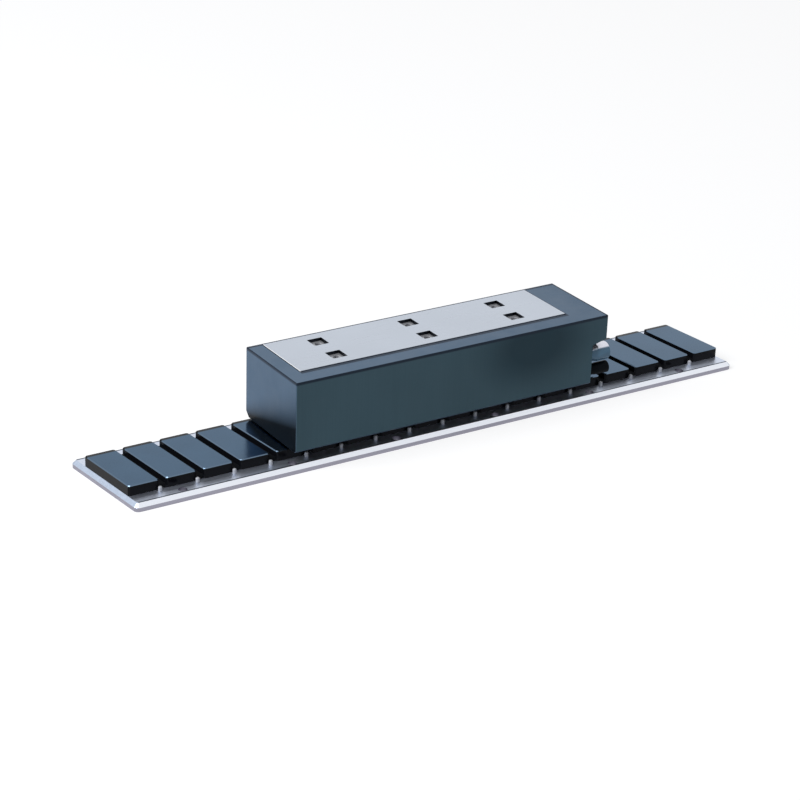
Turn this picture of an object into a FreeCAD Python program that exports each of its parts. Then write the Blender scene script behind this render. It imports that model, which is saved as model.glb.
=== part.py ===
import FreeCAD, Part
import os
import Sketcher
from FreeCAD import Vector

# Iron-core linear motor: a potted coil unit, the forcer, that runs along a skewed magnet track.
# Millimetres. X is the direction of travel and Z is up. The origin is at the centre of the
# track's underside. Magnets, core and coils are centred on the plane Y = 0.

DRIVING_SIZES = {
    # Magnet track
    "pole_pitch": 15.0,
    "magnet_count": 18,
    "magnet_width": 12.0,
    "magnet_length": 30.0,
    "magnet_thickness": 4.0,
    "magnet_corner_cut": 0.6,
    "magnet_bevel": 0.3,
    "skew_angle": 6.0,
    "plate_width": 45.0,
    "plate_thickness": 3.0,
    "plate_chamfer": 1.4,
    "plate_corner_radius": 2.0,
    "track_hole_diameter": 3.4,
    "track_hole_edge": 3.5,
    "poles_per_track_hole": 3,
    "pin_diameter": 1.5,
    "pin_height": 1.8,
    "pin_seat_depth": 1.2,
    "pin_seat_clearance": 0.05,
    "pin_magnet_gap": 0.5,
    "front_pin_setback": 1.7,
    "gap_filler_thickness": 1.5,
    # Forcer: place over the track, and resin body
    "air_gap": 0.6,
    "forcer_start": -67.5,
    "end_wall": 6.0,
    "cable_end": 14.0,
    "front_wall": 1.2,
    "back_wall": 1.3,
    "resin_floor": 0.4,
    "resin_edge_radius": 0.4,
    "front_lower_chamfer": 0.8,
    "back_lower_chamfer": 2.2,
    "plate_proud": 0.2,
    # Iron core and windings
    "core_poles": 8,
    "tooth_count": 6,
    "stack_width": 21.0,
    "tooth_width": 9.0,
    "tooth_height": 16.0,
    "tooth_tip_chamfer": 0.5,
    "back_iron": 7.0,
    "liner_clearance": 0.1,
    "liner_wall": 0.6,
    "liner_flange": 0.8,
    "liner_spacing": 0.4,
    "coil_thickness": 4.0,
    "coil_corner_radius": 2.5,
    "coil_chamber_gap": 0.3,
    "lead_width": 0.9,
    "lead_thickness": 0.5,
    "lead_spread": 3.0,
    "lead_reach": 3.4,
    # Mounting plate and its square threaded inserts
    "mounting_plate_inset": 0.5,
    "mounting_plate_width": 28.2,
    "mounting_plate_shift": 1.5,
    "mounting_plate_thickness": 5.0,
    "mounting_plate_joint": 0.25,
    "mounting_plate_bevel": 0.15,
    "bolt_pitch_along": 40.0,
    "bolt_pitch_across": 13.5,
    "pocket_width": 6.2,
    "insert_clearance": 0.2,
    "insert_recess": 1.2,
    "insert_base_width": 8.0,
    "insert_base_thickness": 1.6,
    "insert_bore": 2.5,
    "screw_clearance_bore": 3.2,
    "screw_clearance_depth": 4.0,
    # Terminal board and winding sensor
    "board_thickness": 1.4,
    "board_length": 104.0,
    "board_height": 12.0,
    "board_lift": 5.0,
    "sensor_diameter": 2.0,
    "sensor_length": 7.0,
    "sensor_lead_width": 0.5,
    "sensor_height": 5.0,
    "sensor_coil_gap": 0.05,
    # Cable outlets in the recess at the right end
    "recess_length": 6.7,
    "recess_depth": 9.4,
    "recess_height": 16.5,
    "recess_slope": 15.0,
    "outlet_front_inset": 0.4,
    "outlet_reach": 9.2,
    "outlet_taper": 4.2,
    "outlet_seat": 5.0,
    "outlet_seat_clearance": 0.05,
    "outlet_wall": 0.7,
    "wire_passage_step": 0.5,
    "seal_width": 2.0,
    "seal_thickness": 0.6,
    "seal_recess": 0.3,
    "power_cable_bore": 3.6,
    "power_outlet_mouth": 7.2,
    "power_outlet_height": 11.4,
    "sensor_cable_bore": 2.4,
    "sensor_outlet_mouth": 4.8,
    "sensor_outlet_height": 4.9,
}

# Derived places, as expressions over the sheet
TRACK_LENGTH = "(sizes.magnet_count * sizes.pole_pitch)"
HOLE_PITCH = "(sizes.poles_per_track_hole * sizes.pole_pitch)"
HOLE_Y = "(sizes.plate_width / 2 - sizes.track_hole_edge)"
PIN_Y = "(sizes.magnet_length / 2 + sizes.pin_magnet_gap + sizes.pin_diameter / 2)"
FORCER_BOTTOM = "(sizes.plate_thickness + sizes.magnet_thickness + sizes.air_gap)"
CORE_BOTTOM = f"({FORCER_BOTTOM} + sizes.resin_floor)"
CORE_START = "(sizes.forcer_start + sizes.end_wall)"
CORE_LENGTH = "(sizes.core_poles * sizes.pole_pitch)"
CORE_CENTRE = f"({CORE_START} + {CORE_LENGTH} / 2)"
CORE_HEIGHT = "(sizes.tooth_height + sizes.back_iron)"
CORE_TOP = f"({CORE_BOTTOM} + {CORE_HEIGHT})"
TOOTH_PITCH = "(sizes.core_poles * sizes.pole_pitch / sizes.tooth_count)"
FORCER_LENGTH = f"(sizes.end_wall + {CORE_LENGTH} + sizes.cable_end)"
LINER_HALF_WALL = "(sizes.liner_clearance + sizes.liner_wall)"
COIL_HALF_WIDTH = f"(sizes.stack_width / 2 + {LINER_HALF_WALL} + sizes.coil_thickness)"
CHAMBER_BACK = f"({COIL_HALF_WIDTH} + sizes.coil_chamber_gap)"
CHAMBER_FRONT = f"({COIL_HALF_WIDTH} + sizes.lead_reach + sizes.board_thickness)"
FORCER_BACK = f"({CHAMBER_BACK} + sizes.back_wall)"
FORCER_FRONT = f"({CHAMBER_FRONT} + sizes.front_wall)"
RESIN_HEIGHT = (f"(sizes.resin_floor + {CORE_HEIGHT} + sizes.mounting_plate_thickness"
                " - sizes.plate_proud)")
PLATE_LENGTH = f"({CORE_LENGTH} - 2 * sizes.mounting_plate_inset)"
RECESS_WALL = f"({FORCER_LENGTH} - sizes.recess_length)"

# The row of small dowels has flats in place of a round side, which keeps its mesh light
PIN_SIDES = 8

doc = FreeCAD.newDocument("linear_motor")


def make_sheet():
    """Write one row for each driving size: its name, and its value under that alias."""
    sheet = doc.addObject("Spreadsheet::Sheet", "sizes")
    for row, (alias, value) in enumerate(DRIVING_SIZES.items(), 1):
        sheet.set(f"A{row}", alias)
        sheet.set(f"B{row}", str(value))
        sheet.setAlias(f"B{row}", alias)
    doc.recompute()
    return sheet


sheet = make_sheet()


def value(expression):
    """The number that an expression over the sheet gives."""
    return float(sheet.evalExpression(str(expression)))


def new_body(label, x="0", y="0", z="0"):
    """A body whose place is bound to the sheet."""
    body = doc.addObject("PartDesign::Body", label)
    body.Label = label
    body.AllowCompound = True
    body.setExpression("Placement.Base.x", x)
    body.setExpression("Placement.Base.y", y)
    body.setExpression("Placement.Base.z", z)
    return body


def new_sketch(body, name, role, offset="0"):
    """A sketch on one of the body's own planes, moved along that plane's normal."""
    plane = next(feature for feature in body.Origin.OriginFeatures if feature.Role == role)
    sketch = body.newObject("Sketcher::SketchObject", name)
    sketch.AttachmentSupport = (plane, [""])
    sketch.MapMode = "FlatFace"
    sketch.setExpression("AttachmentOffset.Base.z", offset)
    return sketch


def bind_point(sketch, geometry, point, place):
    """Hold one point of a sketch at an (x, y) pair of expressions."""
    for kind, expression in zip(("DistanceX", "DistanceY"), place):
        constraint = Sketcher.Constraint(kind, -1, 1, geometry, point, value(expression))
        index = sketch.addConstraint(constraint)
        sketch.setExpression(f"Constraints[{index}]", str(expression))


def add_polygon(sketch, corners):
    """A closed outline whose corners are (x, y) pairs of expressions."""
    count = len(corners)
    points = [Vector(value(x), value(y), 0) for x, y in corners]
    first = sketch.GeometryCount
    for number in range(count):
        side = Part.LineSegment(points[number], points[(number + 1) % count])
        sketch.addGeometry(side, False)
    for number in range(count):
        following = first + (number + 1) % count
        sketch.addConstraint(Sketcher.Constraint("Coincident", first + number, 2, following, 1))
    for number, corner in enumerate(corners):
        bind_point(sketch, first + number, 1, corner)


def add_rectangle(sketch, x0, x1, y0, y1):
    add_polygon(sketch, [(x0, y0), (x1, y0), (x1, y1), (x0, y1)])


def add_centred_rectangle(sketch, x, y, width, depth):
    add_rectangle(sketch, f"{x} - {width} / 2", f"{x} + {width} / 2",
                  f"{y} - {depth} / 2", f"{y} + {depth} / 2")


def add_pin_outline(sketch, x, y, diameter):
    """A polygon in a circle, with one flat square to the travel."""
    corners = []
    for number in range(PIN_SIDES):
        angle = 360 * (number + 0.5) / PIN_SIDES
        corners.append((f"{x} + {diameter} / 2 * cos({angle})",
                        f"{y} + {diameter} / 2 * sin({angle})"))
    add_polygon(sketch, corners)


def add_circle(sketch, x, y, diameter):
    circle = Part.Circle(Vector(value(x), value(y), 0), Vector(0, 0, 1), value(diameter) / 2)
    geometry = sketch.addGeometry(circle, False)
    bind_point(sketch, geometry, 3, (x, y))
    index = sketch.addConstraint(Sketcher.Constraint("Diameter", geometry, value(diameter)))
    sketch.setExpression(f"Constraints[{index}]", str(diameter))


def add_pad(body, sketch, length, side="One side", reversed_side=False):
    pad = body.newObject("PartDesign::Pad", sketch.Name + "_pad")
    pad.Profile = sketch
    pad.SideType = side
    pad.Reversed = reversed_side
    pad.setExpression("Length", length)
    doc.recompute()
    return pad


def add_pocket(body, sketch, length, side="One side", reversed_side=False):
    """A cut that must take material away."""
    before = body.Shape.Volume
    pocket = body.newObject("PartDesign::Pocket", sketch.Name + "_pocket")
    pocket.Profile = sketch
    pocket.SideType = side
    pocket.Reversed = reversed_side
    pocket.setExpression("Length", length)
    doc.recompute()
    assert body.Shape.Volume < before - 1e-6, f"{sketch.Name} cuts nothing"
    return pocket


def repeat_along(body, name, original, sketch, pitch, count):
    """Repeat a feature along its sketch's level axis, which lies along the travel."""
    pattern = body.newObject("PartDesign::LinearPattern", name)
    pattern.Originals = [original]
    pattern.Direction = (sketch, ["H_Axis"])
    pattern.Mode = "Spacing"
    pattern.setExpression("Offset", pitch)
    pattern.setExpression("Occurrences", count)
    body.Tip = pattern
    doc.recompute()
    return pattern


def dress_edges(body, kind, name, size, chosen):
    """A fillet or chamfer on the edges of the body's last feature that pass a test."""
    base = body.Tip
    names = [f"Edge{number}" for number, edge in enumerate(base.Shape.Edges, 1) if chosen(edge)]
    assert names, f"{name} finds no edge"
    feature = body.newObject(f"PartDesign::{kind}", name)
    feature.Base = (base, names)
    feature.setExpression("Radius" if kind == "Fillet" else "Size", size)
    doc.recompute()
    return feature


def is_upright(edge):
    start, end = edge.Vertexes[0].Point, edge.Vertexes[-1].Point
    return (start - end).Length > 1e-6 and abs(start.x - end.x) + abs(start.y - end.y) < 1e-6


def lies_at_height(height):
    """A test for edges that lie level at one height in the body's own frame."""
    return lambda edge: abs(edge.BoundBox.ZMin - height) + abs(edge.BoundBox.ZMax - height) < 1e-5


def skewed(x, y):
    """The place of a point at (x, y) once the track is skewed."""
    return (f"{x} - ({y}) * tan(sizes.skew_angle)", y)


def make_base_plate():
    """Steel plate with skewed ends, screw holes in both margins and seats for the pins."""
    body = new_body("base_plate")
    outline = new_sketch(body, "plate_outline", "XY_Plane")
    half_length = f"{TRACK_LENGTH} / 2"
    half_width = "sizes.plate_width / 2"
    corners = [skewed(f"-{half_length}", f"-{half_width}"), skewed(half_length, f"-{half_width}"),
               skewed(half_length, half_width), skewed(f"-{half_length}", half_width)]
    add_polygon(outline, corners)
    add_pad(body, outline, "sizes.plate_thickness")
    dress_edges(body, "Fillet", "plate_corners", "sizes.plate_corner_radius", is_upright)
    dress_edges(body, "Chamfer", "plate_top_edge", "sizes.plate_chamfer",
                lies_at_height(value("sizes.plate_thickness")))
    holes = new_sketch(body, "track_holes", "XY_Plane", "sizes.plate_thickness")
    hole_columns = int(value("sizes.magnet_count / sizes.poles_per_track_hole"))
    for column in range(hole_columns):
        x = f"(-{TRACK_LENGTH} / 2 + {HOLE_PITCH} * ({column} + 1 / 2))"
        for side in ("-", ""):
            add_circle(holes, x, f"{side}{HOLE_Y}", "sizes.track_hole_diameter")
    add_pocket(body, holes, "sizes.plate_thickness")
    seats = new_sketch(body, "pin_seats", "XY_Plane", "sizes.plate_thickness")
    for x, y in first_pin_places():
        add_pin_outline(seats, x, y, "(sizes.pin_diameter + 2 * sizes.pin_seat_clearance)")
    first_seats = add_pocket(body, seats, "sizes.pin_seat_depth")
    repeat_along(body, "pin_seat_row", first_seats, seats, "sizes.pole_pitch",
                 "sizes.magnet_count - 1")
    return body


def first_pin_places():
    """Both ends of the gap between the first two magnets, the front one set back along X."""
    x = f"(-{TRACK_LENGTH} / 2 + sizes.pole_pitch)"
    return [skewed(f"{x} - sizes.front_pin_setback", f"-{PIN_Y}"), skewed(x, PIN_Y)]


def make_locating_pins():
    """Dowels that keep the magnets at their pitch while they are glued down."""
    body = new_body("magnet_locating_pins", z="sizes.plate_thickness - sizes.pin_seat_depth")
    outlines = new_sketch(body, "pin_outlines", "XY_Plane")
    for x, y in first_pin_places():
        add_pin_outline(outlines, x, y, "sizes.pin_diameter")
    first_pins = add_pad(body, outlines, "sizes.pin_seat_depth + sizes.pin_height")
    repeat_along(body, "pin_row", first_pins, outlines, "sizes.pole_pitch",
                 "sizes.magnet_count - 1")
    return body


def make_magnet(number):
    """One skewed magnet block on the plate; the poles alternate along the track."""
    x = f"-{TRACK_LENGTH} / 2 + ({number} - 1 / 2) * sizes.pole_pitch"
    body = new_body(f"magnet_{number:02d}", x=x, z="sizes.plate_thickness")
    outline = new_sketch(body, f"magnet_outline_{number:02d}", "XY_Plane")
    half_width = "sizes.magnet_width / 2"
    half_length = "sizes.magnet_length / 2"
    corners = [skewed(f"-{half_width}", f"-{half_length}"), skewed(half_width, f"-{half_length}"),
               skewed(half_width, half_length), skewed(f"-{half_width}", half_length)]
    add_polygon(outline, corners)
    add_pad(body, outline, "sizes.magnet_thickness")
    dress_edges(body, "Chamfer", f"magnet_corners_{number:02d}", "sizes.magnet_corner_cut",
                is_upright)
    dress_edges(body, "Chamfer", f"magnet_bevel_{number:02d}", "sizes.magnet_bevel",
                lies_at_height(value("sizes.magnet_thickness")))
    return body


def make_magnet_gap_filler():
    """Bars of black bonding resin on the plate, each between two magnets."""
    body = new_body("magnet_gap_filler", x=f"-{TRACK_LENGTH} / 2 + sizes.pole_pitch",
                    z="sizes.plate_thickness")
    outline = new_sketch(body, "gap_filler_outline", "XY_Plane")
    half_width = "(sizes.pole_pitch - sizes.magnet_width) / 2"
    half_length = "(sizes.magnet_length / 2 - sizes.magnet_corner_cut)"
    corners = [skewed(f"-{half_width}", f"-{half_length}"), skewed(half_width, f"-{half_length}"),
               skewed(half_width, half_length), skewed(f"-{half_width}", half_length)]
    add_polygon(outline, corners)
    first_bar = add_pad(body, outline, "sizes.gap_filler_thickness")
    repeat_along(body, "gap_filler_row", first_bar, outline, "sizes.pole_pitch",
                 "sizes.magnet_count - 1")
    return body


def bolt_places():
    """The bolt grid, two rows of three, about the middle of the mounting plate."""
    places = []
    for column in (-1, 0, 1):
        for row in (-1, 1):
            places.append((f"{column} * sizes.bolt_pitch_along",
                           f"{row} * sizes.bolt_pitch_across / 2"))
    return places


def make_lamination_core():
    """Comb-shaped stack of electrical steel: a back iron with one tooth for each coil."""
    body = new_body("lamination_core", x=CORE_CENTRE, z=CORE_BOTTOM)
    back = new_sketch(body, "back_iron_outline", "XZ_Plane")
    add_rectangle(back, f"-{CORE_LENGTH} / 2", f"{CORE_LENGTH} / 2", "sizes.tooth_height",
                  CORE_HEIGHT)
    add_pad(body, back, "sizes.stack_width", side="Symmetric")
    tooth = new_sketch(body, "tooth_outline", "XZ_Plane")
    centre = f"(-{CORE_LENGTH} / 2 + {TOOTH_PITCH} / 2)"
    half = "sizes.tooth_width / 2"
    tip = "sizes.tooth_tip_chamfer"
    add_polygon(tooth, [(f"{centre} - {half}", "sizes.tooth_height"),
                        (f"{centre} - {half}", tip),
                        (f"{centre} - {half} + {tip}", "0"),
                        (f"{centre} + {half} - {tip}", "0"),
                        (f"{centre} + {half}", tip),
                        (f"{centre} + {half}", "sizes.tooth_height")])
    tooth_pad = add_pad(body, tooth, "sizes.stack_width", side="Symmetric")
    repeat_along(body, "tooth_row", tooth_pad, tooth, TOOTH_PITCH, "sizes.tooth_count")
    bores = new_sketch(body, "screw_bores", "XY_Plane", CORE_HEIGHT)
    for x, y in bolt_places():
        add_circle(bores, x, f"{y} + sizes.mounting_plate_shift", "sizes.screw_clearance_bore")
    add_pocket(body, bores, "sizes.screw_clearance_depth")
    return body


def tooth_x(number):
    return f"{CORE_START} + ({number} - 1 / 2) * {TOOTH_PITCH}"


def make_slot_liner(number):
    """Moulded bobbin that insulates a tooth, with a flange at each end."""
    body = new_body(f"slot_liner_{number}", x=tooth_x(number), z=CORE_BOTTOM)
    flange_width = f"({TOOTH_PITCH} - sizes.liner_spacing)"
    flange_depth = f"(2 * {COIL_HALF_WIDTH})"
    tube_width = f"(sizes.tooth_width + 2 * {LINER_HALF_WALL})"
    tube_depth = f"(sizes.stack_width + 2 * {LINER_HALF_WALL})"
    lower = new_sketch(body, f"liner_lower_flange_{number}", "XY_Plane")
    add_centred_rectangle(lower, "0", "0", flange_width, flange_depth)
    add_pad(body, lower, "sizes.liner_flange")
    tube = new_sketch(body, f"liner_tube_{number}", "XY_Plane")
    add_centred_rectangle(tube, "0", "0", tube_width, tube_depth)
    add_pad(body, tube, "sizes.tooth_height")
    upper = new_sketch(body, f"liner_upper_flange_{number}", "XY_Plane",
                       "sizes.tooth_height - sizes.liner_flange")
    add_centred_rectangle(upper, "0", "0", flange_width, flange_depth)
    add_pad(body, upper, "sizes.liner_flange")
    window = new_sketch(body, f"liner_window_{number}", "XY_Plane", "sizes.tooth_height")
    add_centred_rectangle(window, "0", "0", "(sizes.tooth_width + 2 * sizes.liner_clearance)",
                          "(sizes.stack_width + 2 * sizes.liner_clearance)")
    add_pocket(body, window, "sizes.tooth_height")
    return body


def make_coil(number):
    """One concentrated coil, wound on its bobbin between the flanges."""
    body = new_body(f"coil_{number}", x=tooth_x(number), z=f"{CORE_BOTTOM} + sizes.liner_flange")
    height = "(sizes.tooth_height - 2 * sizes.liner_flange)"
    inner_width = f"(sizes.tooth_width + 2 * {LINER_HALF_WALL})"
    inner_depth = f"(sizes.stack_width + 2 * {LINER_HALF_WALL})"
    outer = new_sketch(body, f"coil_outline_{number}", "XY_Plane")
    add_centred_rectangle(outer, "0", "0", f"({inner_width} + 2 * sizes.coil_thickness)",
                          f"({inner_depth} + 2 * sizes.coil_thickness)")
    add_pad(body, outer, height)
    dress_edges(body, "Fillet", f"coil_corners_{number}", "sizes.coil_corner_radius", is_upright)
    window = new_sketch(body, f"coil_window_{number}", "XY_Plane", height)
    add_centred_rectangle(window, "0", "0", inner_width, inner_depth)
    add_pocket(body, window, height)
    return body


def make_coil_leads():
    """The start and finish of every coil, led straight to the terminal board."""
    body = new_body("coil_leads", x="0", y=f"-{COIL_HALF_WIDTH}",
                    z=f"{CORE_BOTTOM} + sizes.board_lift + sizes.board_height / 2")
    strips = new_sketch(body, "lead_strips", "XZ_Plane")
    for number in range(1, int(value("sizes.tooth_count")) + 1):
        for side in ("-", "+"):
            x = f"({tooth_x(number)} {side} sizes.lead_spread)"
            add_centred_rectangle(strips, x, "0", "sizes.lead_width", "sizes.lead_thickness")
    add_pad(body, strips, "sizes.lead_reach")
    return body


def make_terminal_board():
    """Circuit board on the front wall where the coil ends and the cables' wires meet."""
    body = new_body("terminal_board", x=CORE_CENTRE, y=f"-({COIL_HALF_WIDTH} + sizes.lead_reach)",
                    z=f"{CORE_BOTTOM} + sizes.board_lift")
    outline = new_sketch(body, "board_outline", "XZ_Plane")
    add_rectangle(outline, "-sizes.board_length / 2", "sizes.board_length / 2", "0",
                  "sizes.board_height")
    add_pad(body, outline, "sizes.board_thickness")
    return body


def make_thermal_sensor():
    """Winding temperature bead against a middle coil, with two leads to the board."""
    middle = int(value("sizes.tooth_count / 2"))
    body = new_body("thermal_sensor", x=tooth_x(middle),
                    y=f"-({COIL_HALF_WIDTH} + sizes.sensor_coil_gap + sizes.sensor_diameter / 2)",
                    z=f"{CORE_BOTTOM} + sizes.board_lift + sizes.sensor_height / 2")
    bead = new_sketch(body, "sensor_bead", "YZ_Plane")
    add_circle(bead, "0", "0", "sizes.sensor_diameter")
    add_pad(body, bead, "sizes.sensor_length", side="Symmetric")
    leads = new_sketch(body, "sensor_leads", "XZ_Plane")
    for side in ("-", ""):
        add_centred_rectangle(leads, f"{side}sizes.sensor_length / 4", "0",
                              "sizes.sensor_lead_width", "sizes.sensor_lead_width")
    add_pad(body, leads, "sizes.lead_reach - sizes.sensor_coil_gap - sizes.sensor_diameter / 2")
    return body


def make_mounting_plate():
    """Ground plate on top of the core, with stepped square pockets for the inserts."""
    body = new_body("mounting_plate", x=CORE_CENTRE, y="sizes.mounting_plate_shift", z=CORE_TOP)
    outline = new_sketch(body, "mounting_plate_outline", "XY_Plane")
    add_centred_rectangle(outline, "0", "0", PLATE_LENGTH, "sizes.mounting_plate_width")
    add_pad(body, outline, "sizes.mounting_plate_thickness")
    dress_edges(body, "Chamfer", "mounting_plate_edge", "sizes.mounting_plate_bevel",
                lies_at_height(value("sizes.mounting_plate_thickness")))
    pockets = new_sketch(body, "insert_pockets", "XY_Plane", "sizes.mounting_plate_thickness")
    for x, y in bolt_places():
        add_centred_rectangle(pockets, x, y, "sizes.pocket_width", "sizes.pocket_width")
    add_pocket(body, pockets, "sizes.mounting_plate_thickness")
    steps = new_sketch(body, "insert_base_pockets", "XY_Plane")
    base_pocket = "(sizes.insert_base_width + 2 * sizes.insert_clearance)"
    for x, y in bolt_places():
        add_centred_rectangle(steps, x, y, base_pocket, base_pocket)
    add_pocket(body, steps, "sizes.insert_base_thickness", reversed_side=True)
    return body


def make_threaded_inserts():
    """Square inserts whose wide base is trapped between the core and the mounting plate."""
    body = new_body("threaded_inserts", x=CORE_CENTRE, y="sizes.mounting_plate_shift", z=CORE_TOP)
    bases = new_sketch(body, "insert_bases", "XY_Plane")
    for x, y in bolt_places():
        add_centred_rectangle(bases, x, y, "sizes.insert_base_width", "sizes.insert_base_width")
    add_pad(body, bases, "sizes.insert_base_thickness")
    necks = new_sketch(body, "insert_necks", "XY_Plane")
    neck_width = "(sizes.pocket_width - 2 * sizes.insert_clearance)"
    for x, y in bolt_places():
        add_centred_rectangle(necks, x, y, neck_width, neck_width)
    neck_height = "(sizes.mounting_plate_thickness - sizes.insert_recess)"
    add_pad(body, necks, neck_height)
    threads = new_sketch(body, "insert_bores", "XY_Plane", neck_height)
    for x, y in bolt_places():
        add_circle(threads, x, y, "sizes.insert_bore")
    add_pocket(body, threads, neck_height)
    return body


# Each cable outlet: name, bore, outer diameter at its mouth, and height of its axis above the
# forcer's underside
OUTLETS = (("power", "sizes.power_cable_bore", "sizes.power_outlet_mouth",
            "sizes.power_outlet_height"),
           ("sensor", "sizes.sensor_cable_bore", "sizes.sensor_outlet_mouth",
            "sizes.sensor_outlet_height"))


def outlet_y(mouth):
    return f"-({FORCER_FRONT} - sizes.outlet_front_inset - {mouth} / 2)"


def make_resin_body():
    """Cast resin body with the winding chamber, the plate's seat and the cable recess."""
    body = new_body("resin_body", x="sizes.forcer_start", z=FORCER_BOTTOM)
    profile = new_sketch(body, "resin_profile", "YZ_Plane")
    front, back = f"-{FORCER_FRONT}", FORCER_BACK
    front_cut, back_cut = "sizes.front_lower_chamfer", "sizes.back_lower_chamfer"
    add_polygon(profile, [(f"{front} + {front_cut}", "0"), (f"{back} - {back_cut}", "0"),
                          (back, back_cut), (back, RESIN_HEIGHT), (front, RESIN_HEIGHT),
                          (front, front_cut)])
    add_pad(body, profile, FORCER_LENGTH)
    dress_edges(body, "Fillet", "resin_edges", "sizes.resin_edge_radius", lambda edge: True)

    chamber = new_sketch(body, "winding_chamber", "XY_Plane",
                         f"sizes.resin_floor + {CORE_HEIGHT}")
    chamber_end = f"sizes.end_wall + {CORE_LENGTH}"
    add_rectangle(chamber, "sizes.end_wall", chamber_end, f"-{CHAMBER_FRONT}", CHAMBER_BACK)
    # The opening above the chamber comes first, so that the chamber is cut in one solid
    seat = new_sketch(body, "mounting_plate_seat", "XY_Plane", RESIN_HEIGHT)
    plate_start = "(sizes.end_wall + sizes.mounting_plate_inset)"
    half_seat = "(sizes.mounting_plate_width / 2 + sizes.mounting_plate_joint)"
    add_rectangle(seat, f"{plate_start} - sizes.mounting_plate_joint",
                  f"{plate_start} + {PLATE_LENGTH} + sizes.mounting_plate_joint",
                  f"sizes.mounting_plate_shift - {half_seat}",
                  f"sizes.mounting_plate_shift + {half_seat}")
    add_pocket(body, seat, "sizes.mounting_plate_thickness - sizes.plate_proud")
    add_pocket(body, chamber, CORE_HEIGHT)

    recess = new_sketch(body, "cable_recess", "XZ_Plane", FORCER_FRONT)
    ceiling = "sizes.recess_height + sizes.recess_length * tan(sizes.recess_slope)"
    add_polygon(recess, [(RECESS_WALL, "0"), (FORCER_LENGTH, "0"), (FORCER_LENGTH, ceiling),
                         (RECESS_WALL, "sizes.recess_height")])
    add_pocket(body, recess, "sizes.recess_depth")

    for name, bore, mouth, height in OUTLETS:
        seat = new_sketch(body, f"{name}_outlet_seat", "YZ_Plane", RECESS_WALL)
        add_circle(seat, outlet_y(mouth), height,
                   f"{bore} + 2 * (sizes.outlet_wall + sizes.outlet_seat_clearance)")
        add_pocket(body, seat, "sizes.outlet_seat")
        passage = new_sketch(body, f"{name}_wire_passage", "YZ_Plane", RECESS_WALL)
        add_circle(passage, outlet_y(mouth), height, f"{bore} - 2 * sizes.wire_passage_step")
        add_pocket(body, passage, "sizes.cable_end - sizes.recess_length")
    return body


def turn_profile(body, profile):
    """Turn a profile round the sketch's own level axis, which is the cable's axis."""
    turned = body.newObject("PartDesign::Revolution", profile.Name + "_turned")
    turned.Profile = profile
    turned.ReferenceAxis = (profile, ["H_Axis"])
    turned.Angle = 360
    doc.recompute()


def outlet_body(label, mouth, height, depth):
    """A body on an outlet's axis that starts at a depth behind the wall of the recess."""
    return new_body(label, x=f"sizes.forcer_start + {RECESS_WALL} - {depth}",
                    y=outlet_y(mouth), z=f"{FORCER_BOTTOM} + {height}")


def make_outlet_sleeve(name, bore, mouth, height):
    """Bell-mouthed sleeve that a cable leaves through, cast into the wall of the recess."""
    body = outlet_body(f"{name}_cable_sleeve", mouth, height, "sizes.outlet_seat")
    length = "(sizes.outlet_seat + sizes.outlet_reach)"
    inner = f"{bore} / 2"
    root = f"({bore} / 2 + sizes.outlet_wall)"
    pocket = f"({bore} / 2 + sizes.seal_thickness)"
    shoulder = f"({length} - sizes.seal_width - sizes.seal_recess)"
    profile = new_sketch(body, f"{name}_sleeve_profile", "XZ_Plane")
    add_polygon(profile, [("0", inner), (shoulder, inner), (shoulder, pocket), (length, pocket),
                          (length, f"{mouth} / 2"),
                          ("sizes.outlet_seat + sizes.outlet_taper", f"{mouth} / 2"),
                          ("sizes.outlet_seat", root), ("0", root)])
    turn_profile(body, profile)
    return body


def make_outlet_seal(name, bore, mouth, height):
    """Rubber ring in the mouth of a sleeve, level with the sleeve's bore."""
    depth = "(sizes.seal_width + sizes.seal_recess - sizes.outlet_reach)"
    body = outlet_body(f"{name}_cable_seal", mouth, height, depth)
    profile = new_sketch(body, f"{name}_seal_profile", "XZ_Plane")
    add_rectangle(profile, "0", "sizes.seal_width", f"{bore} / 2",
                  f"{bore} / 2 + sizes.seal_thickness - sizes.outlet_seat_clearance")
    turn_profile(body, profile)
    return body


def make_all():
    pieces = [make_base_plate(), make_locating_pins()]
    pieces += [make_magnet(number) for number in range(1, int(value("sizes.magnet_count")) + 1)]
    pieces += [make_magnet_gap_filler(), make_lamination_core()]
    pieces += [make_coil_leads(), make_terminal_board()]
    for number in range(1, int(value("sizes.tooth_count")) + 1):
        pieces += [make_slot_liner(number), make_coil(number)]
    pieces += [make_thermal_sensor(), make_mounting_plate(), make_threaded_inserts()]
    pieces.append(make_resin_body())
    for outlet in OUTLETS:
        pieces += [make_outlet_sleeve(*outlet), make_outlet_seal(*outlet)]
    return pieces


def check(pieces):
    """Stop on a failed object or an unsound shape before any file is written."""
    doc.recompute()
    for item in doc.Objects:
        states = [str(state) for state in item.State]
        assert "Invalid" not in states and "Error" not in states, f"{item.Label}: {states}"
    for piece in pieces:
        shape = piece.Shape
        assert not shape.isNull() and shape.isValid(), f"{piece.Label} has an unsound shape"
        assert shape.Solids, f"{piece.Label} has no solid"


pieces = make_all()
check(pieces)
os.makedirs("parts", exist_ok=True)
for piece in pieces:
    piece.Shape.exportStep(f"parts/{piece.Label}.step")
    box = piece.Shape.BoundBox
    corners = (box.XMin, box.XMax, box.YMin, box.YMax, box.ZMin, box.ZMax)
    print(piece.Label, len(piece.Shape.Solids), [round(number, 2) for number in corners])
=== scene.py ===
"""Looks of the linear motor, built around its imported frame. Metres, +X along the travel."""

import math

import bmesh
import bpy
from mathutils import Matrix, Vector


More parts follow.
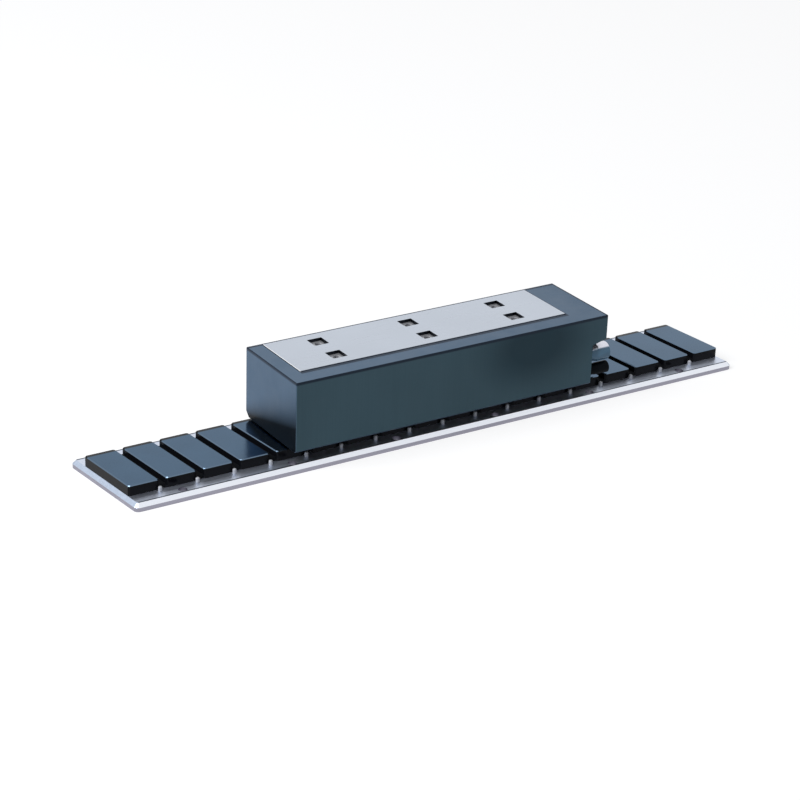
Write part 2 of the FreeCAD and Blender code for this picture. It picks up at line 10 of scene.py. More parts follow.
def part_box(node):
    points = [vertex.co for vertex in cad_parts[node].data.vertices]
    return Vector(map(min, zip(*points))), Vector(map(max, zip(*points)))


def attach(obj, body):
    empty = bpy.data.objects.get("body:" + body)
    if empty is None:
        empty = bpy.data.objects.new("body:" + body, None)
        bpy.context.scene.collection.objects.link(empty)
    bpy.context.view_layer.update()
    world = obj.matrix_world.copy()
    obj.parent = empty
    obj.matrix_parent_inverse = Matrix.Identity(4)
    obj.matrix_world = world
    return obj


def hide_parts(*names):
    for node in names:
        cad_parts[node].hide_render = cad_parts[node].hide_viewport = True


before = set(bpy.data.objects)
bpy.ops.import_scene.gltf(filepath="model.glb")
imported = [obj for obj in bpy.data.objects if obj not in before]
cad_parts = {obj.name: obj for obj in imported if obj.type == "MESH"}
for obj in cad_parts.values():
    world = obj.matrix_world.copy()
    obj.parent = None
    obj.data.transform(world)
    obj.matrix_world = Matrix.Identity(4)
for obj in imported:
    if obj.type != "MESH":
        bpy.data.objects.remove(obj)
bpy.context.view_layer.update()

MM = 0.001

# Camera: the photograph's viewing angle, turned a little about its own axis
CAMERA_AZIMUTH = math.radians(-32.85)
CAMERA_ELEVATION = math.radians(24.44)
CAMERA_ROLL = math.radians(2.0)
CAMERA_DISTANCE = 889.7 * MM
CAMERA_TARGET = Vector((-9.27, 0, 8.30)) * MM
CAMERA_LENS = 104.11
SENSOR_WIDTH = 36.0
NEAREST_SEEN = 0.01

# Stage and light; the lamp stands high on the left and looks at the middle of the track
FLOOR_REACH = 6.0
FLOOR_COLOUR = (0.30, 0.30, 0.31, 1)
FLOOR_GLOW = 0.76
WORLD_TINT = (0.95, 0.98, 1.0, 1)
WORLD_LEVEL = 0.35
WHITE = (1, 1, 1, 1)
LAMP_PLACE = Vector((-1.2, 0.05, 1.15))
LAMP_SIZE = 0.9
LAMP_POWER = 25.0

# Places that several materials and pieces share, from the frame
PLATE_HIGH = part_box("base_plate")[1]
RESIN_LOW, RESIN_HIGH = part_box("resin_body")
MAGNET_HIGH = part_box("magnet_01")[1]
PIN_LOW, PIN_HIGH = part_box("magnet_locating_pins")
INLAY_LOW, INLAY_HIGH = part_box("mounting_plate")
PLATE_CHAMFER = 1.4 * MM

# Thin dark lines, some of them painted shade: how far each reaches from the edge that it follows,
# first with its faded border and then at its full tone
CHAMFER_LINE = (0.8 * MM, 0.6 * MM)
MAGNET_BACK_LINE = (2.1 * MM, 1.6 * MM)
SIDE_TOP_LINE = (1.3 * MM, 0.7 * MM)
BACK_RIM_LINE = (1.9 * MM, 1.5 * MM)
RIGHT_RIM_LINE = (1.1 * MM, 0.9 * MM)
INLAY_FRONT_LINE = (2.0 * MM, 1.6 * MM)
INLAY_BACK_LINE = (0.6 * MM, 0.3 * MM)
INLAY_END_LINE = (0.5 * MM, 0.3 * MM)

# The painted shade on the resin's end faces, at the front edge and at the back edge, in shares of
# the resin's height: how high it is fully dark, and over what height it fades above that
SHADE_RISE = (0.34, 0.02)
SHADE_FADE = (0.72, 0.22)

# The darker cloud in the resin's front side: its middle from the right end and from the top,
# and its reach along the side and up it
CLOUD_FROM_END = 34 * MM
CLOUD_FROM_TOP = 6 * MM
CLOUD_REACH_ALONG = 34 * MM
CLOUD_REACH_UP = 23 * MM

# Locating pins: the flat of the domed top is a share of the pin's radius
PIN_RADIUS = 0.75 * MM
PIN_DOME = 0.5 * MM
PIN_FLAT = 0.35
PIN_DOME_STEPS = 6
PIN_SEGMENTS = 32
SHARP_ANGLE = math.radians(40)

# A wave texture at scale 1 turns by this many radians in one unit of length
WAVE_TURN = 20


def srgb(red, green, blue):
    """A colour given in the usual 0 to 255 steps, as linear values."""
    linear = []
    for step in (red, green, blue):
        share = step / 255
        linear.append(share / 12.92 if share <= 0.04045 else ((share + 0.055) / 1.055) ** 2.4)
    return (*linear, 1.0)


# Node helpers

def new_material(name):
    """An empty node material with a Principled shader at its output."""
    material = bpy.data.materials.new(name)
    material.use_nodes = True
    tree = material.node_tree
    tree.nodes.clear()
    output = tree.nodes.new("ShaderNodeOutputMaterial")
    shader = tree.nodes.new("ShaderNodeBsdfPrincipled")
    tree.links.new(shader.outputs["BSDF"], output.inputs["Surface"])
    return material, tree, shader


def feed(tree, socket, source):
    """Set a socket to a value, or link it to another node's output."""
    if isinstance(source, bpy.types.NodeSocket):
        tree.links.new(source, socket)
    else:
        socket.default_value = source


def object_place(tree):
    """Coordinates in the row frame, which move with the piece."""
    return tree.nodes.new("ShaderNodeTexCoord").outputs["Object"]


def stretched(tree, source, scale):
    """Coordinates scaled along each axis."""
    mapping = tree.nodes.new("ShaderNodeMapping")
    mapping.inputs["Scale"].default_value = scale
    tree.links.new(source, mapping.inputs["Vector"])
    return mapping.outputs["Vector"]


def noise(tree, scale, detail=3.0, roughness=0.5, stretch=(1, 1, 1)):
    """Noise over the row frame; scale is in cells a metre."""
    texture = tree.nodes.new("ShaderNodeTexNoise")
    texture.inputs["Scale"].default_value = scale
    texture.inputs["Detail"].default_value = detail
    texture.inputs["Roughness"].default_value = roughness
    tree.links.new(stretched(tree, object_place(tree), stretch), texture.inputs["Vector"])
    return texture.outputs["Fac"]


def bands(tree, direction, pitch, distortion=0.0, profile="SIN"):
    """Even bands across one axis, a pitch apart in metres."""
    texture = tree.nodes.new("ShaderNodeTexWave")
    texture.wave_type = "BANDS"
    texture.bands_direction = direction
    texture.wave_profile = profile
    texture.inputs["Scale"].default_value = 2 * math.pi / (WAVE_TURN * pitch)
    texture.inputs["Distortion"].default_value = distortion
    tree.links.new(object_place(tree), texture.inputs["Vector"])
    return texture.outputs["Fac"]


def math_node(tree, operation, first, second=0.0, clamp=False):
    """One step of arithmetic on values or sockets."""
    node = tree.nodes.new("ShaderNodeMath")
    node.operation = operation
    node.use_clamp = clamp
    feed(tree, node.inputs[0], first)
    feed(tree, node.inputs[1], second)
    return node.outputs[0]


def product(tree, first, *others):
    """Several masks multiplied: 1 only where all of them are."""
    result = first
    for other in others:
        result = math_node(tree, "MULTIPLY", result, other)
    return result


def greatest(tree, first, *others):
    """The greatest of several masks: 1 where any of them is."""
    result = first
    for other in others:
        result = math_node(tree, "MAXIMUM", result, other)
    return result


def magnitude(tree, source):
    """A value without its sign."""
    return math_node(tree, "ABSOLUTE", source)


def ramp(tree, source, low, high, out_low=0.0, out_high=1.0):
    """A clamped straight ramp from one range to another."""
    node = tree.nodes.new("ShaderNodeMapRange")
    node.clamp = True
    feed(tree, node.inputs["Value"], source)
    node.inputs["From Min"].default_value = low
    node.inputs["From Max"].default_value = high
    node.inputs["To Min"].default_value = out_low
    node.inputs["To Max"].default_value = out_high
    return node.outputs["Result"]


def window(tree, source, start, full_from, full_to, end):
    """1 between two values and 0 outside, with a ramp on either side."""
    return product(tree, ramp(tree, source, start, full_from), ramp(tree, source, end, full_to))


def drift(tree, source, low, high):
    """A value that drifts from low to high over the middle of a noise texture's range."""
    return ramp(tree, source, 0.3, 0.7, low, high)


def from_line_before(tree, place, edge, line):
    """0 up to a line before an edge, and 1 from the line onwards."""
    faded, full = line
    return ramp(tree, place, edge - faded, edge - full)


def to_line_after(tree, place, edge, line):
    """1 up to a line after an edge, and 0 past it."""
    faded, full = line
    return ramp(tree, place, edge + faded, edge + full)


def blend_colours(tree, share, first, second):
    """The first colour where the share is 0, the second where it is 1."""
    node = tree.nodes.new("ShaderNodeMix")
    node.data_type = "RGBA"
    feed(tree, node.inputs["Factor"], share)
    feed(tree, node.inputs["A"], first)
    feed(tree, node.inputs["B"], second)
    return node.outputs["Result"]


def shaded(tree, colour, factor):
    """A colour made darker or lighter by a factor."""
    node = tree.nodes.new("ShaderNodeHueSaturation")
    feed(tree, node.inputs["Value"], factor)
    feed(tree, node.inputs["Color"], colour)
    return node.outputs["Color"]


def mottled(tree, colour, darker, scale, stretch=(1, 1, 1)):
    """A colour that drifts between itself and a darker share of itself."""
    second = tuple(part * darker for part in colour[:3]) + (1.0,)
    share = ramp(tree, noise(tree, scale, stretch=stretch), 0.35, 0.65)
    return blend_colours(tree, share, colour, second)


def axis_parts(tree, vector):
    """The X, Y and Z parts of a vector socket."""
    node = tree.nodes.new("ShaderNodeSeparateXYZ")
    tree.links.new(vector, node.inputs["Vector"])
    return node.outputs["X"], node.outputs["Y"], node.outputs["Z"]


def facing(tree):
    """How far the surface faces along X, Y and Z, with signs."""
    geometry = tree.nodes.new("ShaderNodeNewGeometry")
    return axis_parts(tree, geometry.outputs["True Normal"])


def rough_surface(tree, shader, height, strength, distance):
    """Fine relief from a height socket; distance is in metres."""
    bump = tree.nodes.new("ShaderNodeBump")
    bump.inputs["Strength"].default_value = strength
    bump.inputs["Distance"].default_value = distance
    tree.links.new(height, bump.inputs["Height"])
    tree.links.new(bump.outputs["Normal"], shader.inputs["Normal"])


def cloud(tree, spans):
    """1 near a middle, falling softly to 0 along an ellipse; a span is place, middle, reach."""
    square = 0.0
    for place, middle, reach in spans:
        offset = math_node(tree, "DIVIDE", math_node(tree, "SUBTRACT", place, middle), reach)
        square = math_node(tree, "ADD", product(tree, offset, offset), square)
    near = math_node(tree, "SUBTRACT", 1.0, square, clamp=True)
    return ramp(tree, product(tree, near, near), 0.0, 0.8)


# Materials

def plated_steel():
    """Satin plated plate: bright top, greyer sides as ground steel and painted shade, chamfers
    painted as a highlight, faint grinding lines.
    """
    material, tree, shader = new_material("plated_steel")
    along_x, _, up = facing(tree)
    _, place_y, _ = axis_parts(tree, object_place(tree))
    top = mottled(tree, srgb(210, 218, 234), 0.92, 40)
    edge = mottled(tree, srgb(156, 155, 168), 0.9, 90, (0.2, 1, 3))
    long_bevel, end_bevel, dark_line = srgb(230, 234, 242), srgb(172, 184, 202), srgb(70, 78, 92)
    # The sides are greyer, partly as ground steel and partly as painted shade; the chamfers are
    # painted bright along the long sides as a highlight and greyer at the ends as shade.
    is_edge = ramp(tree, magnitude(tree, up), 0.35, 0.15)
    is_bevel = window(tree, up, 0.3, 0.5, 0.85, 0.95)
    is_end = ramp(tree, magnitude(tree, along_x), 0.3, 0.5)
    colour = blend_colours(tree, is_edge, top, edge)
    bevel = blend_colours(tree, is_end, long_bevel, end_bevel)
    colour = blend_colours(tree, is_bevel, colour, bevel)
    # A thin dark line runs along the foot of each long chamfer
    line = from_line_before(tree, magnitude(tree, place_y), PLATE_HIGH.y - PLATE_CHAMFER,
                            CHAMFER_LINE)
    line = product(tree, line, ramp(tree, up, 0.96, 0.99))
    colour = blend_colours(tree, line, colour, dark_line)
    feed(tree, shader.inputs["Base Color"], colour)
    shader.inputs["Metallic"].default_value = 0.96
    grinding = noise(tree, 900, 2, 0.6, (0.03, 1, 1))
    feed(tree, shader.inputs["Roughness"], drift(tree, grinding, 0.32, 0.40))
    rough_surface(tree, shader, grinding, 0.04, 0.03 * MM)
    return material


def magnet_coat():
    """Blue-grey coated pole face with bevels painted paler as a highlight; the sides are painted
    black as shade.
    """
    material, tree, shader = new_material("magnet_coat")
    _, _, up = facing(tree)
    _, place_y, _ = axis_parts(tree, object_place(tree))
    grain = ramp(tree, noise(tree, 2600, 3, 0.7), 0.35, 0.65, 0.94, 1.06)
    face = shaded(tree, mottled(tree, srgb(62, 92, 119), 0.9, 55), grain)
    side, bevel, resin = srgb(13, 14, 18), srgb(98, 117, 137), srgb(18, 22, 28)
    # The sides are painted black as shade; the bevels are painted paler as a highlight.
    is_face = ramp(tree, up, 0.2, 0.45)
    is_bevel = window(tree, up, 0.3, 0.5, 0.9, 0.97)
    colour = blend_colours(tree, is_face, side, face)
    colour = blend_colours(tree, is_bevel, colour, bevel)
    # A dark line runs along the back end of each magnet
    is_back = from_line_before(tree, place_y, MAGNET_HIGH.y, MAGNET_BACK_LINE)
    colour = blend_colours(tree, is_back, colour, resin)
    feed(tree, shader.inputs["Base Color"], colour)
    feed(tree, shader.inputs["Metallic"], is_face)
    shader.inputs["Specular IOR Level"].default_value = 0.1
    feed(tree, shader.inputs["Roughness"], drift(tree, noise(tree, 140), 0.14, 0.22))
    rough_surface(tree, shader, noise(tree, 1800, 4, 0.6), 0.05, 0.03 * MM)
    return material


def resin_tone(tree, along_y):
    """Slate with faint upright draw marks; the long sides get a greener copy of it as painted
    shade.
    """
    slate = mottled(tree, srgb(84, 105, 127), 0.92, 45, (1, 1, 0.4))
    greener = mottled(tree, srgb(84, 112, 125), 0.88, 28, (1, 1, 0.5))
    long_side_shade = ramp(tree, magnitude(tree, along_y), 0.7, 0.95)
    draw_marks = drift(tree, noise(tree, 1500, 2, 0.5, (1, 1, 0.02)), 0.98, 1.02)
    return shaded(tree, blend_colours(tree, long_side_shade, slate, greener), draw_marks)


def painted_end_shade(tree, along_x, place_y, place_z):
    """Painted shade on each end face: dark at the foot, higher at the front edge than at the
    back.
    """
    height = RESIN_HIGH.z - RESIN_LOW.z
    rise, fade = [ramp(tree, place_y, RESIN_LOW.y, RESIN_HIGH.y, front * height, back * height)
                  for front, back in (SHADE_RISE, SHADE_FADE)]
    above_foot = math_node(tree, "SUBTRACT", place_z, RESIN_LOW.z)
    above_rise = math_node(tree, "SUBTRACT", above_foot, rise)
    clear = math_node(tree, "DIVIDE", above_rise, fade, clamp=True)
    foot_shade = math_node(tree, "POWER", math_node(tree, "SUBTRACT", 1.0, clear), 2.0)
    return product(tree, foot_shade, ramp(tree, magnitude(tree, along_x), 0.6, 0.9))


def resin_lines(tree, up, place_x, place_y, place_z):
    """Thin dark lines: painted edge shade at the top of each side, a dark joint with painted
    shade round the mounting plate, and dark lines along the back and right rim.
    """
    on_side = ramp(tree, magnitude(tree, up), 0.5, 0.3)
    on_top = ramp(tree, up, 0.9, 0.97)
    side_top = from_line_before(tree, place_z, RESIN_HIGH.z, SIDE_TOP_LINE)
    joint = product(tree,
                    from_line_before(tree, place_y, INLAY_LOW.y, INLAY_FRONT_LINE),
                    to_line_after(tree, place_y, INLAY_HIGH.y, INLAY_BACK_LINE),
                    from_line_before(tree, place_x, INLAY_LOW.x, INLAY_END_LINE),
                    to_line_after(tree, place_x, INLAY_HIGH.x, INLAY_END_LINE))
    rim = greatest(tree,
                   from_line_before(tree, place_y, RESIN_HIGH.y, BACK_RIM_LINE),
                   from_line_before(tree, place_x, RESIN_HIGH.x, RIGHT_RIM_LINE))
    return greatest(tree, product(tree, joint, on_top), product(tree, rim, on_top),
                    product(tree, on_side, side_top))


def cast_resin():
    """Slate cast resin with a cloud and dark lines; painted shade at the foot of its end faces,
    on its edge bevels and under it.
    """
    material, tree, shader = new_material("cast_resin")
    along_x, along_y, up = facing(tree)
    place_x, place_y, place_z = axis_parts(tree, object_place(tree))
    # A darker cloud shows on the front side, towards the cable end
    dark_cloud = cloud(tree, ((place_x, RESIN_HIGH.x - CLOUD_FROM_END, CLOUD_REACH_ALONG),
                              (place_z, RESIN_HIGH.z - CLOUD_FROM_TOP, CLOUD_REACH_UP)))
    on_front = ramp(tree, along_y, -0.7, -0.95)
    layers = (
        (product(tree, dark_cloud, on_front), srgb(49, 73, 85)),
        # painted shade at the foot of each end face
        (painted_end_shade(tree, along_x, place_y, place_z), srgb(7, 12, 18)),
        # the edge bevels painted dark as shade
        (window(tree, up, 0.15, 0.3, 0.93, 0.98), srgb(28, 38, 50)),
        (resin_lines(tree, up, place_x, place_y, place_z), srgb(40, 52, 68)),
        # the underside painted black as shade
        (ramp(tree, up, -0.9, -0.97), srgb(10, 12, 15)),
    )
    colour = resin_tone(tree, along_y)
    for share, tone in layers:
        colour = blend_colours(tree, share, colour, tone)
    feed(tree, shader.inputs["Base Color"], colour)
    shader.inputs["Specular IOR Level"].default_value = 0.1
    feed(tree, shader.inputs["Roughness"], drift(tree, noise(tree, 120), 0.32, 0.46))
    rough_surface(tree, shader, noise(tree, 1400, 4, 0.6), 0.12, 0.05 * MM)
    return material


def ground_plate():
    """Bright ground mounting plate; its pocket walls and its front and back bevels are painted
    dark as shade, its end bevels painted bright as a highlight.
    """
    material, tree, shader = new_material("ground_plate")
    along_x, _, up = facing(tree)
    grinding = noise(tree, 1300, 3, 0.6, (0.02, 1, 1))
    face = shaded(tree, mottled(tree, srgb(190, 198, 210), 0.96, 30),
                  drift(tree, grinding, 0.985, 1.015))
    painted_wall_shade, long_bevel, end_bevel = srgb(30, 34, 42), srgb(70, 76, 88), srgb(240, 243, 248)
    # Pocket walls and long bevels painted dark as shade, end bevels painted bright as a
    # highlight.
    is_bevel = window(tree, up, 0.3, 0.5, 0.85, 0.95)
    is_end = ramp(tree, magnitude(tree, along_x), 0.2, 0.4)
    colour = blend_colours(tree, ramp(tree, up, 0.3, 0.6), painted_wall_shade, face)
    bevel = blend_colours(tree, is_end, long_bevel, end_bevel)
    feed(tree, shader.inputs["Base Color"], blend_colours(tree, is_bevel, colour, bevel))
    shader.inputs["Metallic"].default_value = 0.9
    feed(tree, shader.inputs["Roughness"], drift(tree, grinding, 0.26, 0.36))
    rough_surface(tree, shader, grinding, 0.06, 0.03 * MM)
    return material


def turned_steel(name, colour, roughness, metallic):
    """Zinc-plated or turned steel with fine rings of tool marks."""
    material, tree, shader = new_material(name)
    feed(tree, shader.inputs["Base Color"], mottled(tree, colour, 0.82, 300))
    shader.inputs["Metallic"].default_value = metallic
    shader.inputs["Specular IOR Level"].default_value = 0.2
    marks = bands(tree, "Z", 0.12 * MM, 0.4)
    feed(tree, shader.inputs["Roughness"],
         ramp(tree, marks, 0.2, 0.8, roughness, roughness + 0.12))
    rough_surface(tree, shader, marks, 0.10, 0.02 * MM)
    return material


def laminated_steel():
    """Stack of thin sheets, seen as fine dark lines across the stack."""
    material, tree, shader = new_material("laminated_steel")
    sheets = bands(tree, "Y", 0.5 * MM, 0.0, "SAW")
    colour = blend_colours(tree, ramp(tree, sheets, 0.75, 0.95), srgb(120, 124, 132),
                           srgb(40, 42, 48))
    feed(tree, shader.inputs["Base Color"], colour)
    shader.inputs["Metallic"].default_value = 0.6
    feed(tree, shader.inputs["Roughness"], drift(tree, noise(tree, 400), 0.35, 0.55))
    rough_surface(tree, shader, sheets, 0.3, 0.05 * MM)
    return material


def enamelled_winding():
    """Layers of enamelled copper wire, round the tooth."""
    material, tree, shader = new_material("enamelled_winding")
    turns = bands(tree, "Z", 0.5 * MM, 0.25)
    colour = blend_colours(tree, turns, srgb(96, 44, 20), srgb(196, 112, 58))
    feed(tree, shader.inputs["Base Color"], colour)
    shader.inputs["Metallic"].default_value = 0.45
    shader.inputs["Coat Weight"].default_value = 0.5
    feed(tree, shader.inputs["Roughness"], ramp(tree, turns, 0, 1, 0.42, 0.25))
    rough_surface(tree, shader, turns, 0.6, 0.15 * MM)
    return material


def moulded_nylon():
    """Off-white glass-filled nylon with a faint flow pattern."""
    material, tree, shader = new_material("moulded_nylon")
    feed(tree, shader.inputs["Base Color"], mottled(tree, srgb(226, 221, 202), 0.92, 160))
    feed(tree, shader.inputs["Roughness"], drift(tree, noise(tree, 700), 0.45, 0.6))
    rough_surface(tree, shader, noise(tree, 2200, 4), 0.15, 0.03 * MM)
    return material


def tinned_copper():
    """Flat leads, tinned, with streaks where the copper shows."""
    material, tree, shader = new_material("tinned_copper")
    share = ramp(tree, noise(tree, 900, 3, 0.6, (1, 0.2, 1)), 0.45, 0.75)
    colour = blend_colours(tree, share, srgb(205, 205, 200), srgb(190, 130, 90))
    feed(tree, shader.inputs["Base Color"], colour)
    shader.inputs["Metallic"].default_value = 0.8
    feed(tree, shader.inputs["Roughness"], ramp(tree, share, 0, 1, 0.25, 0.4))
    return material


def circuit_board():
    """Green solder mask over a faint glass weave, with tinned pads in a row."""
    material, tree, shader = new_material("circuit_board")
    weave = product(tree, bands(tree, "X", 0.6 * MM), bands(tree, "Z", 0.6 * MM))
    mask = blend_colours(tree, weave, srgb(18, 84, 48), srgb(28, 102, 60))
    pads = product(tree, ramp(tree, bands(tree, "X", 5.0 * MM), 0.86, 0.93),
                   ramp(tree, bands(tree, "Z", 6.0 * MM), 0.86, 0.93))
    feed(tree, shader.inputs["Base Color"], blend_colours(tree, pads, mask, srgb(214, 214, 206)))
    feed(tree, shader.inputs["Metallic"], pads)
    feed(tree, shader.inputs["Roughness"], ramp(tree, pads, 0, 1, 0.38, 0.25))
    rough_surface(tree, shader, weave, 0.08, 0.03 * MM)
    return material


def glossy_plastic(name, colour, roughness, specular, coat):
    """Moulded plastic or glaze with a faint drift in tone."""
    material, tree, shader = new_material(name)
    feed(tree, shader.inputs["Base Color"], mottled(tree, colour, 0.85, 200))
    shader.inputs["Specular IOR Level"].default_value = specular
    shader.inputs["Coat Weight"].default_value = coat
    shader.inputs["Coat Roughness"].default_value = 0.12
    feed(tree, shader.inputs["Roughness"],
         drift(tree, noise(tree, 500), roughness, roughness + 0.1))
    rough_surface(tree, shader, noise(tree, 1800, 3), 0.08, 0.03 * MM)
    return material


def power_sleeve():
    """Blue moulded plastic with a painted highlight along its top, pale and metallic."""
    material, tree, shader = new_material("power_sleeve")
    _, _, up = facing(tree)
    plastic, top_highlight = mottled(tree, srgb(104, 144, 174), 0.8, 300), srgb(216, 218, 228)
    # The top is painted pale and metallic as a highlight.
    painted_top_highlight = ramp(tree, up, 0.62, 0.75)
    feed(tree, shader.inputs["Base Color"], blend_colours(tree, painted_top_highlight, plastic, top_highlight))
    feed(tree, shader.inputs["Metallic"], painted_top_highlight)
    shader.inputs["Specular IOR Level"].default_value = 0.3
    feed(tree, shader.inputs["Roughness"], drift(tree, noise(tree, 500), 0.28, 0.4))
    rough_surface(tree, shader, noise(tree, 1800, 3), 0.08, 0.03 * MM)
    return material


def black_rubber():
    """Matt black rubber."""
    material, tree, shader = new_material("black_rubber")
    feed(tree, shader.inputs["Base Color"], mottled(tree, srgb(26, 26, 28), 0.7, 400))
    shader.inputs["Specular IOR Level"].default_value = 0.3
    feed(tree, shader.inputs["Roughness"], drift(tree, noise(tree, 900), 0.6, 0.8))
    rough_surface(tree, shader, noise(tree, 3000, 4), 0.3, 0.03 * MM)
    return material


def bonding_resin():
    """Matt black filled resin between the magnets, slightly lumpy where it set."""
    material, tree, shader = new_material("bonding_resin")
    feed(tree, shader.inputs["Base Color"], mottled(tree, srgb(14, 16, 20), 0.6, 250))
    shader.inputs["Specular IOR Level"].default_value = 0.08
    feed(tree, shader.inputs["Roughness"], drift(tree, noise(tree, 600), 0.55, 0.8))
    rough_surface(tree, shader, noise(tree, 900, 3), 0.3, 0.08 * MM)
    return material


def dress_nodes():
    """Give every carried-over node its material."""
    seal = black_rubber()
    by_node = {
        "base_plate": plated_steel(),
        "magnet_gap_filler": bonding_resin(),
        "resin_body": cast_resin(),
        "mounting_plate": ground_plate(),
        "threaded_inserts": turned_steel("insert_steel", srgb(196, 198, 204), 0.28, 0.7),
        "lamination_core": laminated_steel(),
        "coil_leads": tinned_copper(),
        "terminal_board": circuit_board(),
        "thermal_sensor": glossy_plastic("sensor_glaze", srgb(196, 96, 30), 0.2, 0.5, 0.5),
        "power_cable_sleeve": power_sleeve(),
        "sensor_cable_sleeve": glossy_plastic("sensor_sleeve", srgb(10, 15, 20), 0.4, 0.04, 0.0),
        "power_cable_seal": seal,
        "sensor_cable_seal": seal,
    }
    by_prefix = {"magnet_": magnet_coat(), "slot_liner_": moulded_nylon(),
                 "coil_": enamelled_winding()}
    for name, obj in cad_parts.items():
        material = by_node.get(name)
        if material is None:
            for prefix, shared in by_prefix.items():
                if name.startswith(prefix):
                    material = shared
        obj.data.materials.clear()
        obj.data.materials.append(material)


# Pieces

def link_mesh(name, builder, material, body):
    """Make an object from a bmesh, shade it smooth by angle and let it ride on a body."""
    mesh = bpy.data.meshes.new(name)
    builder.to_mesh(mesh)
    builder.free()
    mesh.materials.append(material)
    for face in mesh.polygons:
        face.use_smooth = True
    mesh.set_sharp_from_angle(angle=SHARP_ANGLE)
    obj = bpy.data.objects.new(name, mesh)
    bpy.context.scene.collection.objects.link(obj)
    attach(obj, body)
    return obj


def add_turned(builder, centre, profile):
    """A closed solid of revolution about Z; the profile runs from its foot to its top."""
    rings = []
    for radius, height in profile:
        ring = []
        for number in range(PIN_SEGMENTS):
            angle = 2 * math.pi * number / PIN_SEGMENTS
            offset = Vector((radius * math.cos(angle), radius * math.sin(angle), height))
            ring.append(builder.verts.new(centre + offset))
        rings.append(ring)
    for lower, upper in zip(rings, rings[1:]):
        for number in range(PIN_SEGMENTS):
            following = (number + 1) % PIN_SEGMENTS
            builder.faces.new((lower[number], lower[following], upper[following],
                               upper[number]))
    builder.faces.new(list(reversed(rings[0])))
    builder.faces.new(rings[-1])


def magnet_gap_centres():
    """The middle of each gap between neighbouring magnets, along the track."""
    names = sorted(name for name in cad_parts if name.startswith("magnet_")
                   and name[len("magnet_"):].isdigit())
    centres = [(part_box(name)[0].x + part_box(name)[1].x) / 2 for name in names]
    return [(left + right) / 2 for left, right in zip(centres, centres[1:])]


def make_locating_pins():
    """Round dowels with domed tops, at both ends of every gap between two magnets."""
    row_y = PIN_HIGH.y - PIN_RADIUS
    gaps = magnet_gap_centres()
    back_shift = PIN_LOW.x + PIN_RADIUS - gaps[0]
    front_shift = PIN_HIGH.x - PIN_RADIUS - gaps[-1]
    profile = [(PIN_RADIUS, PIN_LOW.z)]
    for number in range(PIN_DOME_STEPS + 1):
        angle = math.pi / 2 * number / PIN_DOME_STEPS
        radius = PIN_RADIUS * (PIN_FLAT + (1 - PIN_FLAT) * math.cos(angle))
        profile.append((radius, PIN_HIGH.z - PIN_DOME + PIN_DOME * math.sin(angle)))
    builder = bmesh.new()
    for gap in gaps:
        add_turned(builder, Vector((gap + front_shift, -row_y, 0)), profile)
        add_turned(builder, Vector((gap + back_shift, row_y, 0)), profile)
    pins = link_mesh("locating_pins", builder,
                     turned_steel("pin_steel", srgb(178, 181, 188), 0.5, 0.25),
                     "track")
    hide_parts("magnet_locating_pins")


# Stage, light and camera

def rays_of_view(tree):
    """1 for what is seen straight, in a mirror or through glass."""
    path = tree.nodes.new("ShaderNodeLightPath")
    return greatest(tree, path.outputs["Is Camera Ray"], path.outputs["Is Glossy Ray"],
                    path.outputs["Is Transmission Ray"])


def make_floor():
    """A wide pale floor that looks white but keeps the object's soft shadow."""
    mesh = bpy.data.meshes.new("floor")
    reach = FLOOR_REACH
    corners = [(-reach, -reach, 0), (reach, -reach, 0), (reach, reach, 0), (-reach, reach, 0)]
    mesh.from_pydata(corners, [], [(0, 1, 2, 3)])
    floor = bpy.data.objects.new("floor", mesh)
    bpy.context.scene.collection.objects.link(floor)
    material = bpy.data.materials.new("pale_floor")
    material.use_nodes = True
    tree = material.node_tree
    tree.nodes.clear()
    output = tree.nodes.new("ShaderNodeOutputMaterial")
    diffuse = tree.nodes.new("ShaderNodeBsdfDiffuse")
    diffuse.inputs["Color"].default_value = FLOOR_COLOUR
    glow = tree.nodes.new("ShaderNodeEmission")
    glow.inputs["Color"].default_value = WHITE
    feed(tree, glow.inputs["Strength"], product(tree, rays_of_view(tree), FLOOR_GLOW))
    both = tree.nodes.new("ShaderNodeAddShader")
    tree.links.new(diffuse.outputs["BSDF"], both.inputs[0])
    tree.links.new(glow.outputs["Emission"], both.inputs[1])
    tree.links.new(both.outputs["Shader"], output.inputs["Surface"])
    mesh.materials.append(material)


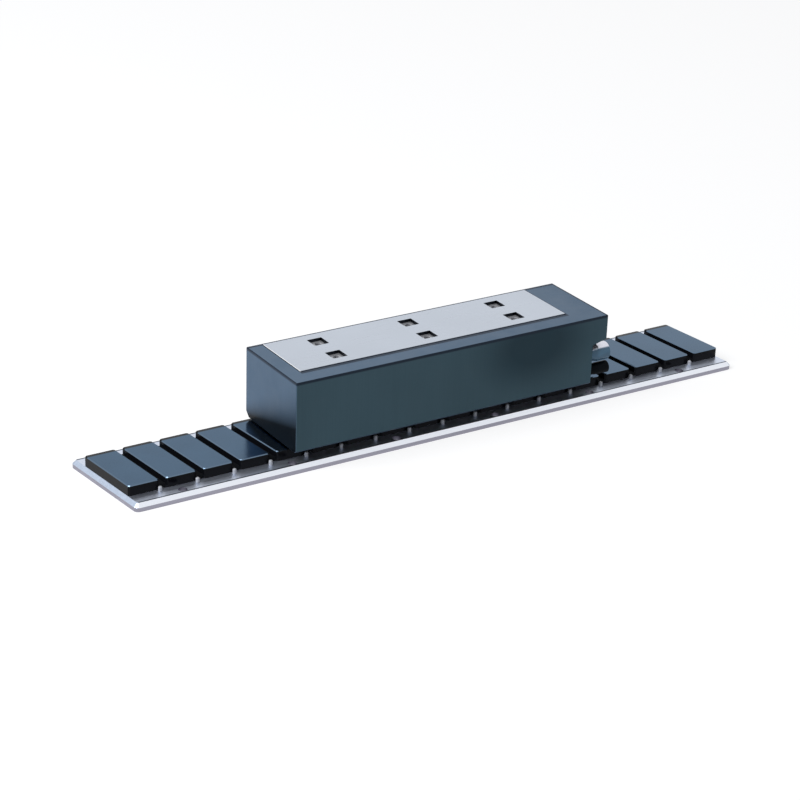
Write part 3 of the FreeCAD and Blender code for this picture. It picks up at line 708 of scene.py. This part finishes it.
def make_world():
    """White where it is seen; a soft, even level for everything else."""
    world = bpy.data.worlds.new("studio")
    bpy.context.scene.world = world
    world.use_nodes = True
    tree = world.node_tree
    tree.nodes.clear()
    output = tree.nodes.new("ShaderNodeOutputWorld")
    seen = tree.nodes.new("ShaderNodeBackground")
    seen.inputs["Color"].default_value = WHITE
    seen.inputs["Strength"].default_value = 1.0
    light = tree.nodes.new("ShaderNodeBackground")
    light.inputs["Color"].default_value = WORLD_TINT
    light.inputs["Strength"].default_value = WORLD_LEVEL
    chosen = tree.nodes.new("ShaderNodeMixShader")
    feed(tree, chosen.inputs["Fac"], rays_of_view(tree))
    tree.links.new(light.outputs["Background"], chosen.inputs[1])
    tree.links.new(seen.outputs["Background"], chosen.inputs[2])
    tree.links.new(chosen.outputs["Shader"], output.inputs["Surface"])


def make_lamp():
    """One square soft lamp, turned towards the middle of the track."""
    lamp = bpy.data.lights.new("key", "AREA")
    lamp.shape = "SQUARE"
    lamp.size = LAMP_SIZE
    lamp.energy = LAMP_POWER
    obj = bpy.data.objects.new("key", lamp)
    bpy.context.scene.collection.objects.link(obj)
    rotation = (-LAMP_PLACE).to_track_quat("-Z", "Y").to_matrix().to_4x4()
    obj.matrix_world = Matrix.Translation(LAMP_PLACE) @ rotation


def make_camera():
    """The camera at the photograph's viewing angle, looking at its target."""
    azimuth, elevation, roll = CAMERA_AZIMUTH, CAMERA_ELEVATION, CAMERA_ROLL
    forward = Vector((-math.sin(azimuth) * math.cos(elevation),
                      math.cos(azimuth) * math.cos(elevation), -math.sin(elevation)))
    level = Vector((math.cos(azimuth), math.sin(azimuth), 0))
    upright = level.cross(forward)
    right = math.cos(roll) * level + math.sin(roll) * upright
    up = math.cos(roll) * upright - math.sin(roll) * level
    camera = bpy.data.cameras.new("camera")
    camera.lens = CAMERA_LENS
    camera.sensor_width = SENSOR_WIDTH
    camera.sensor_fit = "HORIZONTAL"
    camera.clip_start = NEAREST_SEEN
    obj = bpy.data.objects.new("camera", camera)
    bpy.context.scene.collection.objects.link(obj)
    place = CAMERA_TARGET - forward * CAMERA_DISTANCE
    turn = Matrix((right, up, -forward)).transposed().to_4x4()
    obj.matrix_world = Matrix.Translation(place) @ turn
    bpy.context.scene.camera = obj


make_camera()
make_floor()
make_world()
make_lamp()
dress_nodes()
make_locating_pins()

bpy.context.scene.view_settings.view_transform = "Standard"
bpy.context.view_layer.update()
